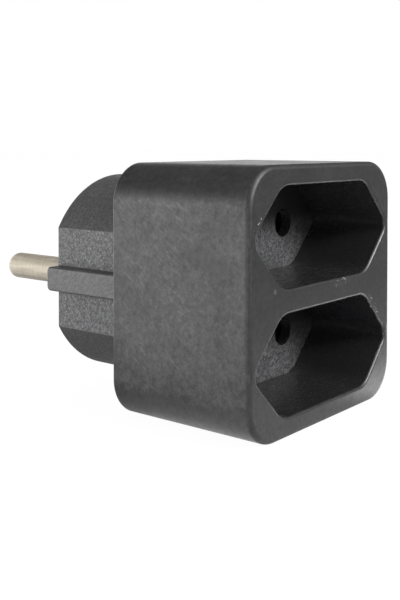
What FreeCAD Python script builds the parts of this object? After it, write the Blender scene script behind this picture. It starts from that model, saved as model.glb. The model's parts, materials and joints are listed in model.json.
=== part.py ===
import FreeCAD, Part
import math
import os

import Sketcher
from FreeCAD import Placement, Rotation, Vector

# Double socket adapter: a round two-pin plug that carries two flat two-pole outlets.
#
# Frame: millimetres, the origin in the middle of the plug's end face between the pins.
# +X to the right seen from the front, +Y the way the pins point, +Z up. The outlets open to -Y.
# A height "above the plug face" is a distance from that face towards the front, along -Y.

SIZES = {
    # box
    "face_width": 42.0,
    "face_height": 41.0,
    "body_depth": 26.8,
    "inner_depth": 12.0,
    "body_corner": 6.5,
    "face_edge": 0.85,
    "rear_edge": 0.3,
    "housing_wall": 2.0,
    "cavity_corner": 4.5,
    # outlets
    "outlet_pitch": 19.2,
    "pole_pitch": 19.0,
    "recess_height": 15.5,
    "recess_rim": 0.85,
    "recess_corner": 4.6,
    "recess_tip": 2.2,
    "lip_round": 0.5,
    "recess_wall": 1.8,
    "core_inset": 0.4,
    "core_bevel": 2.4,
    "floor_wall": 2.0,
    "pin_hole": 5.0,
    # plug body
    "plug_length": 19.0,
    "plug_diameter": 35.6,
    "plug_flat_width": 31.0,
    "plug_wall": 1.5,
    "plug_end_wall": 2.5,
    "plug_edge": 0.4,
    "rib_width": 4.2,
    "rib_stand": 2.6,
    "rib_corner": 0.8,
    "rib_edge": 0.4,
    "cover_thickness": 2.2,
    "cover_rebate": 0.7,
    "cover_gap": 0.1,
    "pole_barrier": 1.2,
    # mains pins
    "pin_diameter": 4.8,
    "pin_length": 19.0,
    "pin_tip": 1.9,
    "pin_root": 4.0,
    "pin_gap": 0.02,
    "pin_boss_wall": 1.8,
    "pin_boss_height": 6.5,
    "pin_stub": 3.0,
    "pin_groove": 0.25,
    "pin_grooves": 3,
    # bus bars
    "bar_thickness": 1.0,
    "bar_width": 4.4,
    "bar_pad": 7.2,
    "rivet_gap": 0.02,
    "rivet_lip": 0.7,
    "rivet_height": 0.8,
    # contact sockets
    "socket_bore": 4.06,
    "socket_wall": 0.43,
    "socket_end": 1.6,
    "socket_collar": 2.7,
    "socket_slit": 0.5,
    "socket_stub": 2.2,
    "ring_gap": 0.02,
    "ring_thickness": 0.4,
    "ring_width": 1.3,
    "ring_setback": 1.7,
    "ring_opening": 90.0,
    # contact carrier
    "carrier_thickness": 2.0,
    "carrier_gap": 0.1,
    "guide_hole": 4.5,
    "socket_seat": 1.4,
    "seat_gap": 0.1,
    "ledge_width": 3.0,
    "side_ledge": 2.5,
    "cup_diameter": 9.4,
    "cup_depth": 1.6,
    "cup_wall": 1.1,
    "cup_floor": 1.2,
    "cup_peg": 0.7,
    # shutters
    "shutter_width": 5.8,
    "shutter_thickness": 4.6,
    "shutter_gap": 0.2,
    "shutter_hub": 7.2,
    "shutter_boss": 4.4,
    "shutter_boss_height": 1.5,
    "ramp_start": 6.0,
    "ramp_low": 0.8,
    "pivot_diameter": 2.5,
    "pivot_gap": 0.06,
    "pivot_seat": 0.7,
    "stop_diameter": 1.6,
    "stop_gap": 0.15,
    "stop_offset": 6.0,
    # return springs
    "spring_wire": 0.4,
    "spring_radius": 2.9,
    "spring_turns": 2,
    "spring_pitch": 0.5,
    "spring_leg": 3.0,
    "spring_start": 90.0,
    "peg_reach": 2.7,
    "peg_gap": 0.05,
    # housing screw
    "well_diameter": 6.6,
    "well_wall": 1.5,
    "well_setback": 1.0,
    "well_floor": 2.0,
    "screw_hole": 3.4,
    "screw_diameter": 3.0,
    "screw_length": 10.0,
    "screw_point": 1.2,
    "screw_point_width": 0.8,
    "screw_head": 5.6,
    "screw_head_top": 3.8,
    "screw_head_height": 1.9,
    "screw_drive": 3.2,
    "screw_drive_width": 0.9,
    "screw_drive_depth": 1.0,
    "thread_pitch": 1.1,
    "thread_mouth": 0.74,
    "thread_depth": 0.32,
    "thread_turns": 7,
    "boss_diameter": 6.4,
    "pilot_hole": 2.5,
    "boss_gap": 0.2,
}

doc = FreeCAD.newDocument("double_socket_adapter")
sheet = doc.addObject("Spreadsheet::Sheet", "Sizes")
for row, (alias, size) in enumerate(SIZES.items(), start=1):
    sheet.set(f"A{row}", alias.replace("_", " "))
    sheet.set(f"B{row}", str(size))
    sheet.setAlias(f"B{row}", alias)
doc.recompute()


def of_sizes(text):
    """Turns words such as plug_length into references to the sheet's cells."""
    for word in sorted(SIZES, key=len, reverse=True):
        text = text.replace(f"<{word}>", f"Sizes.{word}")
    return text


# Heights above the plug face, from the rear to the front
FRONT = of_sizes("(<plug_length> + <body_depth>)")
FLOOR_FRONT = of_sizes("(<plug_length> + <inner_depth>)")
FLOOR_BACK = of_sizes(f"({FLOOR_FRONT} - <floor_wall>)")
SHUTTER_REAR = of_sizes(f"({FLOOR_BACK} - <shutter_gap> - <shutter_thickness>)")
CARRIER_FRONT = of_sizes(f"({SHUTTER_REAR} - <shutter_gap>)")
CARRIER_REAR = of_sizes(f"({CARRIER_FRONT} - <carrier_thickness>)")
CUP_BOTTOM = of_sizes(f"({CARRIER_FRONT} - <cup_depth>)")
SOCKET_MOUTH = of_sizes(f"({CARRIER_REAR} + <socket_seat> - <seat_gap>)")
BAR_REAR = of_sizes("(<plug_end_wall> + <pin_boss_height>)")
BAR_FRONT = of_sizes(f"({BAR_REAR} + <bar_thickness>)")
COVER_FRONT = of_sizes("(<plug_length> + <cover_thickness>)")
WELL_SEAT = of_sizes("(<plug_length> - <well_setback>)")
WELL_END = of_sizes(f"({WELL_SEAT} + <well_floor>)")

# Widths and places across the adapter
HALF_WIDTH = of_sizes("<face_width> / 2")
HALF_HEIGHT = of_sizes("<face_height> / 2")
POLE = of_sizes("<pole_pitch> / 2")
OUTLET = of_sizes("<outlet_pitch> / 2")
CAVITY_X = of_sizes(f"({HALF_WIDTH} - <housing_wall>)")
CAVITY_Z = of_sizes(f"({HALF_HEIGHT} - <housing_wall>)")
SOCKET_RADIUS = of_sizes("(<socket_bore> / 2 + <socket_wall>)")
WING_HALF = of_sizes("(<shutter_width> / 2)")
TIP = of_sizes("(<face_width> / 2 - <recess_rim>)")
BEND = of_sizes(f"({TIP} - <recess_height> / 2)")

# The pins' tapered shoulders sit in seats of the same taper, flush with the plug face
PIN_SHOULDER = of_sizes("((<pin_diameter> - <pin_root>) / 2)")

# Each spring leg bears on a peg that lies inside of it
PEG_INSET = of_sizes("(<spring_radius> - <spring_wire> / 2 - <peg_gap> - <cup_peg> / 2)")


def number(text):
    """What a size expression is worth, in millimetres."""
    worth = sheet.evalExpression(of_sizes(text))
    return float(getattr(worth, "Value", worth))


def bind(thing, prop, text):
    """Ties one property of a feature to the sheet."""
    thing.setExpression(prop, of_sizes(text))


def new_body(label):
    body = doc.addObject("PartDesign::Body", label)
    body.Label = label
    return body


def new_sketch(body, name, plane="XZ_Plane", height="0"):
    """A sketch on one of the body's own planes; on XZ_Plane its height is above the plug face."""
    sketch = body.newObject("Sketcher::SketchObject", f"{body.Label}_{name}")
    base = next(item for item in body.Origin.OriginFeatures if item.Role == plane)
    sketch.AttachmentSupport = [(base, "")]
    sketch.MapMode = "FlatFace"
    if height != "0":
        bind(sketch, "AttachmentOffset.Base.z", height)
    return sketch


def hold(sketch, geometry, point, x, y):
    """Fixes one point of a sketch at x, y from the sketch's origin."""
    for text, kind, axis in ((x, "DistanceX", -2), (y, "DistanceY", -1)):
        worth = number(text)
        if abs(worth) < 1e-9:
            sketch.addConstraint(Sketcher.Constraint("PointOnObject", geometry, point, axis))
            continue
        ends = (-1, 1, geometry, point) if worth > 0 else (geometry, point, -1, 1)
        index = sketch.addConstraint(Sketcher.Constraint(kind, *ends, abs(worth)))
        bind(sketch, f"Constraints[{index}]", text if worth > 0 else f"-({text})")


def polygon(sketch, points):
    """A closed outline of straight lines through points given as pairs of size expressions."""
    places = [Vector(number(x), number(y), 0) for x, y in points]
    first = sketch.GeometryCount
    for start, end in zip(places, places[1:] + places[:1]):
        sketch.addGeometry(Part.LineSegment(start, end), False)
    last = first + len(points) - 1
    for line in range(first, last + 1):
        following = line + 1 if line < last else first
        sketch.addConstraint(Sketcher.Constraint("Coincident", line, 2, following, 1))
    for line, (x, y) in enumerate(points, start=first):
        hold(sketch, line, 1, x, y)


def rectangle(sketch, x0, x1, y0, y1):
    polygon(sketch, [(x0, y0), (x1, y0), (x1, y1), (x0, y1)])


def rounded(sketch, half_x, half_y, radius):
    """A rectangle about the origin with round corners."""
    x, y, r = number(half_x), number(half_y), number(radius)
    ends = [((x - r, y), (r - x, y)), ((-x, y - r), (-x, r - y)),
            ((r - x, -y), (x - r, -y)), ((x, r - y), (x, y - r))]
    centres = [(r - x, y - r), (r - x, r - y), (x - r, r - y), (x - r, y - r)]
    add = sketch.addConstraint
    for start, end in ends:
        sketch.addGeometry(Part.LineSegment(Vector(*start, 0), Vector(*end, 0)), False)
    for quarter, (u, v) in enumerate(centres, start=1):
        round_corner = Part.Circle(Vector(u, v, 0), Vector(0, 0, 1), r)
        turn = quarter * math.pi / 2
        sketch.addGeometry(Part.ArcOfCircle(round_corner, turn, turn + math.pi / 2), False)
    for line in range(4):
        add(Sketcher.Constraint("Tangent", line, 2, 4 + line, 1))
        add(Sketcher.Constraint("Tangent", 4 + line, 2, (line + 1) % 4, 1))
        add(Sketcher.Constraint("Vertical" if line % 2 else "Horizontal", line))
        size = add(Sketcher.Constraint("Radius", 4 + line, r))
        bind(sketch, f"Constraints[{size}]", radius)
    for line, kind, worth, text in ((0, "DistanceY", y, half_y), (3, "DistanceX", x, half_x)):
        far = add(Sketcher.Constraint(kind, -1, 1, line, 1, worth))
        bind(sketch, f"Constraints[{far}]", text)
        back = add(Sketcher.Constraint(kind, line - 2 if line > 1 else 2, 1, -1, 1, worth))
        bind(sketch, f"Constraints[{back}]", text)


def circle(sketch, x, y, radius):
    centre = Vector(number(x), number(y), 0)
    index = sketch.addGeometry(Part.Circle(centre, Vector(0, 0, 1), number(radius)), False)
    hold(sketch, index, 3, x, y)
    size = sketch.addConstraint(Sketcher.Constraint("Radius", index, number(radius)))
    bind(sketch, f"Constraints[{size}]", radius)


def pad(body, sketch, length, reverse=False):
    """Adds material in front of the sketch, or behind it when reversed."""
    feature = body.newObject("PartDesign::Pad", sketch.Label + "_pad")
    feature.Profile = sketch
    bind(feature, "Length", length)
    feature.Reversed = reverse
    doc.recompute()
    return feature


def pocket(body, sketch, length, reverse=False):
    """Removes material behind the sketch, or in front of it when reversed."""
    before = body.Shape.Volume
    feature = body.newObject("PartDesign::Pocket", sketch.Label + "_pocket")
    feature.Profile = sketch
    bind(feature, "Length", length)
    feature.Reversed = reverse
    doc.recompute()
    if not feature.Shape.Volume < before - 1e-6:
        raise RuntimeError(f"{feature.Label} cuts nothing")
    return feature


def revolve(body, sketch, angle="360"):
    """Turns a profile drawn as radius, length about the body's Y axis."""
    feature = body.newObject("PartDesign::Revolution", sketch.Label + "_turned")
    feature.Profile = sketch
    feature.ReferenceAxis = (sketch, ["V_Axis"])
    bind(feature, "Angle", angle)
    doc.recompute()
    return feature


def dress(body, kind, name, chosen, size):
    """A fillet or chamfer on the edges of the body's last feature for which chosen(edge) holds."""
    base = body.Tip
    names = [f"Edge{i}" for i, edge in enumerate(base.Shape.Edges, start=1) if chosen(edge)]
    if not names:
        raise RuntimeError(f"{body.Label} {name} finds no edge")
    feature = body.newObject(f"PartDesign::{kind}", f"{body.Label}_{name}")
    feature.Base = (base, names)
    bind(feature, "Radius" if kind == "Fillet" else "Size", size)
    doc.recompute()
    return feature


def runs_along_y(edge, places):
    """Whether an edge along Y passes through one of the x, z places."""
    start, end = edge.Vertexes[0].Point, edge.Vertexes[-1].Point
    near = 1e-4
    if abs(start.x - end.x) > near or abs(start.z - end.z) > near:
        return False
    return any(abs(start.x - x) < near and abs(start.z - z) < near for x, z in places)


def is_circle(edge, radius, height):
    """Whether an edge is a circle about Y with a radius, at a height above the plug face."""
    near = 1e-4
    bend = getattr(edge.Curve, "Radius", 0)
    level = edge.Vertexes[0].Point.y + number(height)
    return abs(bend - number(radius)) < near and abs(level) < near and edge.BoundBox.YLength < near


def lies_at(piece, height):
    """Whether an edge or a face lies flat at a height above the plug face."""
    near = 1e-5
    return abs(piece.BoundBox.YMax + number(height)) < near and piece.BoundBox.YLength < near


def flat_at(shape, height):
    """The largest flat face square to Y at a height above the plug face."""
    return max((face for face in shape.Faces if lies_at(face, height)), key=lambda face: face.Area)


def on_inner_wires(face):
    """A test for the edges of the holes in a face."""
    inner = [edge for wire in face.Wires if not wire.isSame(face.OuterWire) for edge in wire.Edges]
    return lambda edge: any(edge.isSame(other) for other in inner)


def on_outer_wire(face):
    """A test for the edges round the outside of a face."""
    return lambda edge: any(edge.isSame(other) for other in face.OuterWire.Edges)


def place(body, x="0", z="0", height="0", turn="0"):
    """Puts a body drawn on the Y axis at x, z and a height above the plug face, turned about Y."""
    bind(body, "Placement.Base.x", x)
    bind(body, "Placement.Base.z", z)
    bind(body, "Placement.Base.y", f"-({height})")
    body.Placement.Rotation = Rotation(Vector(0, 1, 0), number(turn))


def make_front_housing():
    """The box: its face with two six-sided recesses, and a cavity that is open at the rear."""
    body = new_body("front_housing")

    block = new_sketch(body, "block", height="<plug_length>")
    rounded(block, HALF_WIDTH, HALF_HEIGHT, "<body_corner>")
    pad(body, block, "<body_depth>")

    recesses = new_sketch(body, "recesses", height=FRONT)
    tips = []
    bends = []
    for side in ("", "-"):
        middle = f"{side}{OUTLET}"
        top, bottom = f"{middle} + <recess_height> / 2", f"{middle} - <recess_height> / 2"
        polygon(recesses, [(f"-{BEND}", bottom), (BEND, bottom), (TIP, middle),
                           (BEND, top), (f"-{BEND}", top), (f"-{TIP}", middle)])
        tips += [(i * number(TIP), number(middle)) for i in (1, -1)]
        bends += [(i * number(BEND), number(level)) for i in (1, -1) for level in (top, bottom)]
    pocket(body, recesses, f"{FRONT} - {FLOOR_FRONT}")
    dress(body, "Fillet", "recess_bends", lambda e: runs_along_y(e, bends), "<recess_corner>")
    dress(body, "Fillet", "recess_tips", lambda e: runs_along_y(e, tips), "<recess_tip>")
    lips = on_inner_wires(flat_at(body.Tip.Shape, FRONT))
    dress(body, "Fillet", "recess_lips", lips, "<lip_round>")
    rim = on_outer_wire(flat_at(body.Tip.Shape, FRONT))
    dress(body, "Fillet", "face_rim", rim, "<face_edge>")
    dress(body, "Fillet", "rear_rim", lambda e: lies_at(e, "<plug_length>"), "<rear_edge>")

    cavity = new_sketch(body, "cavity", height="<plug_length>")
    rounded(cavity, CAVITY_X, CAVITY_Z, "<cavity_corner>")
    pocket(body, cavity, f"{FLOOR_BACK} - <plug_length>", reverse=True)

    rebate = new_sketch(body, "rebate", height="<plug_length>")
    rounded(rebate, f"{CAVITY_X} + <cover_rebate>", f"{CAVITY_Z} + <cover_rebate>",
            "<cavity_corner> + <cover_rebate>")
    pocket(body, rebate, "<cover_thickness>", reverse=True)

    # Cores that keep the walls between the recesses and the corners thin
    core_x, core_z = f"({CAVITY_X} - <core_inset>)", f"({CAVITY_Z} - <core_inset>)"
    slope = "(<recess_wall> * sqrt(2))"
    across = f"({OUTLET} + {TIP} + {slope})"
    waist = f"({TIP} - {OUTLET} + {slope})"
    cores = new_sketch(body, "cores", height=FLOOR_BACK)
    for side in ("", "-"):
        edge = f"{side}{core_x}"
        polygon(cores, [(f"{side}{waist}", "0"), (edge, f"{core_x} - {waist}"),
                        (edge, f"-({core_x} - {waist})")])
        for level in ("", "-"):
            polygon(cores, [(f"{side}({across} - {core_z})", f"{level}{core_z}"),
                            (f"{side}({core_x} - <core_bevel>)", f"{level}{core_z}"),
                            (edge, f"{level}({core_z} - <core_bevel>)"),
                            (edge, f"{level}({across} - {core_x})")])
    pocket(body, cores, f"{FRONT} - {FLOOR_BACK} - <housing_wall>", reverse=True)

    holes = new_sketch(body, "pin_holes", height=FLOOR_FRONT)
    for side in ("", "-"):
        for level in ("", "-"):
            circle(holes, f"{side}{POLE}", f"{level}{OUTLET}", "<pin_hole> / 2")
    pocket(body, holes, "<floor_wall>")

    # Shutter pivots and stops, screw boss and the ledges that carry the contact carrier
    pivots = new_sketch(body, "pivots", height=FLOOR_BACK)
    stops = new_sketch(body, "stops", height=FLOOR_BACK)
    for side in ("", "-"):
        middle = f"{side}{OUTLET}"
        circle(pivots, "0", middle, "<pivot_diameter> / 2")
        circle(stops, "<stop_offset>", f"{middle} + {WING_HALF} + <stop_gap> + <stop_diameter> / 2",
               "<stop_diameter> / 2")
    pad(body, pivots, f"{FLOOR_BACK} - {CUP_BOTTOM} + <pivot_seat>", reverse=True)
    pad(body, stops, f"{FLOOR_BACK} - {SHUTTER_REAR}", reverse=True)

    ledges = new_sketch(body, "ledges", height=FLOOR_BACK)
    half = "<ledge_width> / 2"
    for side in ("", "-"):
        rectangle(ledges, f"-{half}", half, f"{side}({CAVITY_Z} - <side_ledge>)", f"{side}{CAVITY_Z}")
        rectangle(ledges, f"{side}({CAVITY_X} - <side_ledge>)", f"{side}{CAVITY_X}", f"-{half}", half)
    pad(body, ledges, f"{FLOOR_BACK} - {CARRIER_FRONT}", reverse=True)

    boss = new_sketch(body, "screw_boss", height=FLOOR_BACK)
    circle(boss, "0", "0", "<boss_diameter> / 2")
    pad(body, boss, f"{FLOOR_BACK} - {WELL_END}", reverse=True)
    pilot = new_sketch(body, "pilot_hole", height=WELL_END)
    circle(pilot, "0", "0", "<pilot_hole> / 2")
    pocket(body, pilot, "<screw_length> + <boss_gap>", reverse=True)
    return body


def make_plug_body():
    """The rear moulding: a cover that closes the box, with the round plug and its guide ribs."""
    body = new_body("plug_body")

    cover = new_sketch(body, "cover", height="<plug_length>")
    rounded(cover, f"{CAVITY_X} + <cover_rebate> - <cover_gap>",
            f"{CAVITY_Z} + <cover_rebate> - <cover_gap>",
            "<cavity_corner> + <cover_rebate> - <cover_gap>")
    pad(body, cover, "<cover_thickness>")

    spigot = new_sketch(body, "spigot", height=COVER_FRONT)
    rounded(spigot, f"{CAVITY_X} - <cover_gap>", f"{CAVITY_Z} - <cover_gap>",
            "<cavity_corner> - <cover_gap>")
    pad(body, spigot, f"{CARRIER_REAR} - {COVER_FRONT}")

    barrel = new_sketch(body, "barrel")
    circle(barrel, "0", "0", "<plug_diameter> / 2")
    pad(body, barrel, "<plug_length>")
    flats = new_sketch(body, "flats")
    flat, tall = "<plug_flat_width> / 2", "<plug_diameter> / 2"
    for side in ("", "-"):
        rectangle(flats, f"{side}{flat}", f"{side}<plug_diameter>", f"-{tall}", tall)
    pocket(body, flats, "<plug_length>", reverse=True)
    dress(body, "Fillet", "plug_rim", lambda e: lies_at(e, "0"), "<plug_edge>")

    cavity = new_sketch(body, "cavity", height="<plug_end_wall>")
    circle(cavity, "0", "0", "<plug_diameter> / 2 - <plug_wall>")
    pocket(body, cavity, f"{CARRIER_REAR} - <plug_end_wall>", reverse=True)
    walls = new_sketch(body, "flat_walls", height="<plug_end_wall>")
    tall = "(sqrt(<plug_diameter>^2 - <plug_flat_width>^2) / 2)"
    for side in ("", "-"):
        rectangle(walls, f"{side}({flat} - <plug_wall>)", f"{side}{flat}", f"-{tall}", tall)
    pad(body, walls, "<plug_length> - <plug_end_wall>")

    ribs = new_sketch(body, "guide_ribs")
    half = "<rib_width> / 2"
    stand = f"({flat} + <rib_stand>)"
    for side in ("", "-"):
        rectangle(ribs, f"{side}({flat} - <plug_wall>)", f"{side}{stand}", f"-{half}", half)
    pad(body, ribs, "<plug_length>")
    near = 1e-4
    dress(body, "Fillet", "rib_corners",
          lambda e: lies_at(e, "0") and abs(abs(e.CenterOfMass.z) - number(half)) < near
          and e.BoundBox.ZLength < near, "<rib_corner>")
    dress(body, "Fillet", "rib_edges",
          lambda e: abs(abs(e.CenterOfMass.x) - number(stand)) < near
          and e.BoundBox.XLength < near and not lies_at(e, "<plug_length>"), "<rib_edge>")

    bosses = new_sketch(body, "pin_bosses", height="<plug_end_wall>")
    for side in ("", "-"):
        circle(bosses, f"{side}{POLE}", "0", "<pin_root> / 2 + <pin_boss_wall>")
    pad(body, bosses, "<pin_boss_height>")
    well = new_sketch(body, "well", height="<plug_end_wall>")
    circle(well, "0", "0", "<well_diameter> / 2 + <well_wall>")
    pad(body, well, f"{WELL_END} - <plug_end_wall>")
    barrier = new_sketch(body, "pole_barrier", height="<plug_end_wall>")
    reach = "(<plug_diameter> / 2 - <plug_wall> / 2)"
    rectangle(barrier, "-<pole_barrier> / 2", "<pole_barrier> / 2", f"-{reach}", reach)
    pad(body, barrier, f"{WELL_SEAT} - <plug_end_wall>")

    bores = new_sketch(body, "bores")
    for side in ("", "-"):
        circle(bores, f"{side}{POLE}", "0", "<pin_root> / 2 + <pin_gap>")
    pocket(body, bores, BAR_REAR, reverse=True)
    seat = "<pin_root> / 2 + <pin_gap>"
    dress(body, "Chamfer", "pin_seats", lambda e: is_circle(e, seat, "0"), PIN_SHOULDER)
    bore = new_sketch(body, "well_bore")
    circle(bore, "0", "0", "<well_diameter> / 2")
    pocket(body, bore, WELL_SEAT, reverse=True)
    hole = new_sketch(body, "screw_hole", height=WELL_SEAT)
    circle(hole, "0", "0", "<screw_hole> / 2")
    pocket(body, hole, "<well_floor>", reverse=True)
    return body


def make_contact_carrier():
    """The inner plate that guides the pins, holds the socket mouths and seats the springs."""
    body = new_body("contact_carrier")
    plate = new_sketch(body, "plate", height=CARRIER_REAR)
    rounded(plate, f"{CAVITY_X} - <carrier_gap>", f"{CAVITY_Z} - <carrier_gap>",
            "<cavity_corner> - <carrier_gap>")
    pad(body, plate, "<carrier_thickness>")

    cup_backs = new_sketch(body, "cup_backs", height=CARRIER_REAR)
    cups = new_sketch(body, "cups", height=CARRIER_FRONT)
    pegs = new_sketch(body, "cup_pegs", height=CUP_BOTTOM)
    seats = new_sketch(body, "pivot_seats", height=CUP_BOTTOM)
    for side in ("", "-"):
        middle = f"{side}{OUTLET}"
        circle(cup_backs, "0", middle, "<cup_diameter> / 2 + <cup_wall>")
        circle(cups, "0", middle, "<cup_diameter> / 2")
        circle(pegs, "<peg_reach>", f"{middle} + {PEG_INSET}", "<cup_peg> / 2")
        circle(seats, "0", middle, "<pivot_diameter> / 2 + <pivot_gap>")
    pad(body, cup_backs, f"<cup_floor> + {CARRIER_REAR} - {CUP_BOTTOM}", reverse=True)
    pocket(body, cups, "<cup_depth>")
    pad(body, pegs, "<spring_wire> * 2")
    pocket(body, seats, "<pivot_seat> + <seat_gap>")

    guides = new_sketch(body, "pin_guides", height=CARRIER_FRONT)
    mouths = new_sketch(body, "socket_seats", height=CARRIER_REAR)
    for side in ("", "-"):
        for level in ("", "-"):
            circle(guides, f"{side}{POLE}", f"{level}{OUTLET}", "<guide_hole> / 2")
            circle(mouths, f"{side}{POLE}", f"{level}{OUTLET}", f"{SOCKET_RADIUS} + <seat_gap>")
    pocket(body, guides, "<carrier_thickness>")
    pocket(body, mouths, "<socket_seat>", reverse=True)
    middle = new_sketch(body, "boss_hole", height=CARRIER_FRONT)
    circle(middle, "0", "0", "<boss_diameter> / 2 + <boss_gap>")
    pocket(body, middle, "<carrier_thickness>")
    return body


def make_pin(name, side):
    """A turned mains pin: a round tip, a shoulder on the plug face, a grooved root and a riveted stub."""
    body = new_body(name)
    profile = new_sketch(body, "profile", plane="XY_Plane")
    radius, root, stub = "<pin_diameter> / 2", "<pin_root> / 2", "<pin_stub> / 2"
    polygon(profile, [("0", f"-({BAR_FRONT} + <rivet_height>)"),
                      (f"{stub} + <rivet_lip> / 2", f"-({BAR_FRONT} + <rivet_height>)"),
                      (f"{stub} + <rivet_lip>", f"-{BAR_FRONT}"),
                      (stub, f"-{BAR_FRONT}"),
                      (stub, f"-{BAR_REAR}"),
                      (root, f"-{BAR_REAR}"),
                      (root, f"-{PIN_SHOULDER}"),
                      (radius, "0"),
                      (radius, "<pin_length>"),
                      ("0", "<pin_length>")])
    revolve(body, profile)
    dress(body, "Fillet", "tip", lambda e: is_circle(e, radius, "-<pin_length>"), "<pin_tip>")
    grooves = new_sketch(body, "grooves", plane="XY_Plane")
    count = int(number("<pin_grooves>"))
    for step in range(1, count + 1):
        level = f"-{BAR_REAR} * {step} / ({count} + 1)"
        polygon(grooves, [(f"{root} + <pin_groove>", f"{level} - <pin_groove>"),
                          (f"{root} - <pin_groove>", level),
                          (f"{root} + <pin_groove>", f"{level} + <pin_groove>")])
    before = body.Shape.Volume
    cut = body.newObject("PartDesign::Groove", name + "_root_grooves")
    cut.Profile = grooves
    cut.ReferenceAxis = (grooves, ["V_Axis"])
    cut.Angle = 360
    doc.recompute()
    if not cut.Shape.Volume < before:
        raise RuntimeError(f"{name} grooves cut nothing")
    place(body, x=f"{side}{POLE}")
    return body


def make_bus_bar(name, side):
    """A stamped strip that joins one pin to the upper and the lower contact socket of its pole."""
    body = new_body(name)
    strip = new_sketch(body, "strip", height=BAR_REAR)
    half = "<bar_width> / 2"
    rectangle(strip, f"-{half}", half, f"-{OUTLET}", OUTLET)
    pad(body, strip, "<bar_thickness>")
    ends = new_sketch(body, "ends", height=BAR_REAR)
    for level in ("", "-"):
        circle(ends, "0", f"{level}{OUTLET}", half)
    circle(ends, "0", "0", "<bar_pad> / 2")
    pad(body, ends, "<bar_thickness>")
    holes = new_sketch(body, "rivet_holes", height=BAR_FRONT)
    circle(holes, "0", "0", "<pin_stub> / 2 + <rivet_gap>")
    for level in ("", "-"):
        circle(holes, "0", f"{level}{OUTLET}", "<socket_stub> / 2 + <rivet_gap>")
    pocket(body, holes, "<bar_thickness>")
    place(body, x=f"{side}{POLE}")
    return body


def make_socket(name, side, level):
    """A turned contact socket, slit crosswise from its mouth, riveted to the bus bar at its end."""
    body = new_body(name)
    profile = new_sketch(body, "profile", plane="XY_Plane")
    bore, stub = "<socket_bore> / 2", "<socket_stub> / 2"
    bottom = f"({BAR_FRONT} + <socket_end>)"
    polygon(profile, [("0", f"-{bottom}"),
                      (bore, f"-{bottom}"),
                      (bore, f"-{SOCKET_MOUTH}"),
                      (SOCKET_RADIUS, f"-{SOCKET_MOUTH}"),
                      (SOCKET_RADIUS, f"-{BAR_FRONT}"),
                      (stub, f"-{BAR_FRONT}"),
                      (stub, f"-{BAR_REAR}"),
                      (f"{stub} + <rivet_lip>", f"-{BAR_REAR}"),
                      (f"{stub} + <rivet_lip> / 2", f"-({BAR_REAR} - <rivet_height>)"),
                      ("0", f"-({BAR_REAR} - <rivet_height>)")])
    revolve(body, profile)
    slits = new_sketch(body, "slits", height=SOCKET_MOUTH)
    near, far = "<socket_slit> / 2", f"({SOCKET_RADIUS} + <socket_slit>)"
    polygon(slits, [(near, near), (far, near), (far, f"-{near}"), (near, f"-{near}"),
                    (near, f"-{far}"), (f"-{near}", f"-{far}"), (f"-{near}", f"-{near}"),
                    (f"-{far}", f"-{near}"), (f"-{far}", near), (f"-{near}", near),
                    (f"-{near}", far), (near, far)])
    pocket(body, slits, f"{SOCKET_MOUTH} - {bottom} - <socket_collar>")
    place(body, x=f"{side}{POLE}", z=f"{level}{OUTLET}")
    return body


def make_clamp_ring(name, side, level):
    """An open spring ring round a socket, its gap turned outwards to clear the plug's wall."""
    body = new_body(name)
    section = new_sketch(body, "section", plane="XY_Plane")
    inner = f"({SOCKET_RADIUS} + <ring_gap>)"
    rear = f"({SOCKET_MOUTH} - <ring_setback> - <ring_width>)"
    rectangle(section, inner, f"{inner} + <ring_thickness>", f"-({rear} + <ring_width>)", f"-{rear}")
    revolve(body, section, angle="360 - <ring_opening>")
    outward = math.degrees(math.atan2(number(f"{level}{OUTLET}"), number(f"{side}{POLE}")))
    place(body, x=f"{side}{POLE}", z=f"{level}{OUTLET}",
          turn=f"<ring_opening> / 2 - ({outward})")
    return body


def make_shutter(name, side):
    """A turning shutter: its two wings cover the pin holes and have ramps that the pins push on."""
    body = new_body(name)
    rear = SHUTTER_REAR
    bar = new_sketch(body, "bar", height=rear)
    rectangle(bar, f"-{POLE}", POLE, f"-{WING_HALF}", WING_HALF)
    pad(body, bar, "<shutter_thickness>")
    rounds = new_sketch(body, "rounds", height=rear)
    circle(rounds, "0", "0", "<shutter_hub> / 2")
    for end in ("", "-"):
        circle(rounds, f"{end}{POLE}", "0", WING_HALF)
    pad(body, rounds, "<shutter_thickness>")

    over = "<shutter_gap>"
    top, low = f"-({rear} + <shutter_thickness> + {over})", f"-({rear} + <ramp_low>)"
    for end, thin, thick in (("", "", "-"), ("-", "-", "")):
        ramp = new_sketch(body, f"ramp_{'left' if end else 'right'}", plane="YZ_Plane",
                          height=f"{end}<ramp_start>")
        polygon(ramp, [(top, f"{thin}({WING_HALF} + {over})"),
                       (low, f"{thin}({WING_HALF} + {over})"),
                       (low, f"{thin}{WING_HALF}"),
                       (top, f"{thick}{WING_HALF}")])
        pocket(body, ramp, f"{POLE} + {WING_HALF} - <ramp_start> + {over}", reverse=not end)

    boss = new_sketch(body, "boss", height=rear)
    circle(boss, "0", "0", "<shutter_boss> / 2")
    pad(body, boss, "<shutter_boss_height>", reverse=True)
    peg = new_sketch(body, "peg", height=rear)
    circle(peg, "-<peg_reach>", PEG_INSET, "<cup_peg> / 2")
    pad(body, peg, "<spring_wire> * 2", reverse=True)
    bore = new_sketch(body, "bore", height=f"{rear} + <shutter_thickness>")
    circle(bore, "0", "0", "<pivot_diameter> / 2 + <pivot_gap>")
    pocket(body, bore, "<shutter_thickness> + <shutter_boss_height>")
    place(body, z=f"{side}{OUTLET}")
    return body


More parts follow.
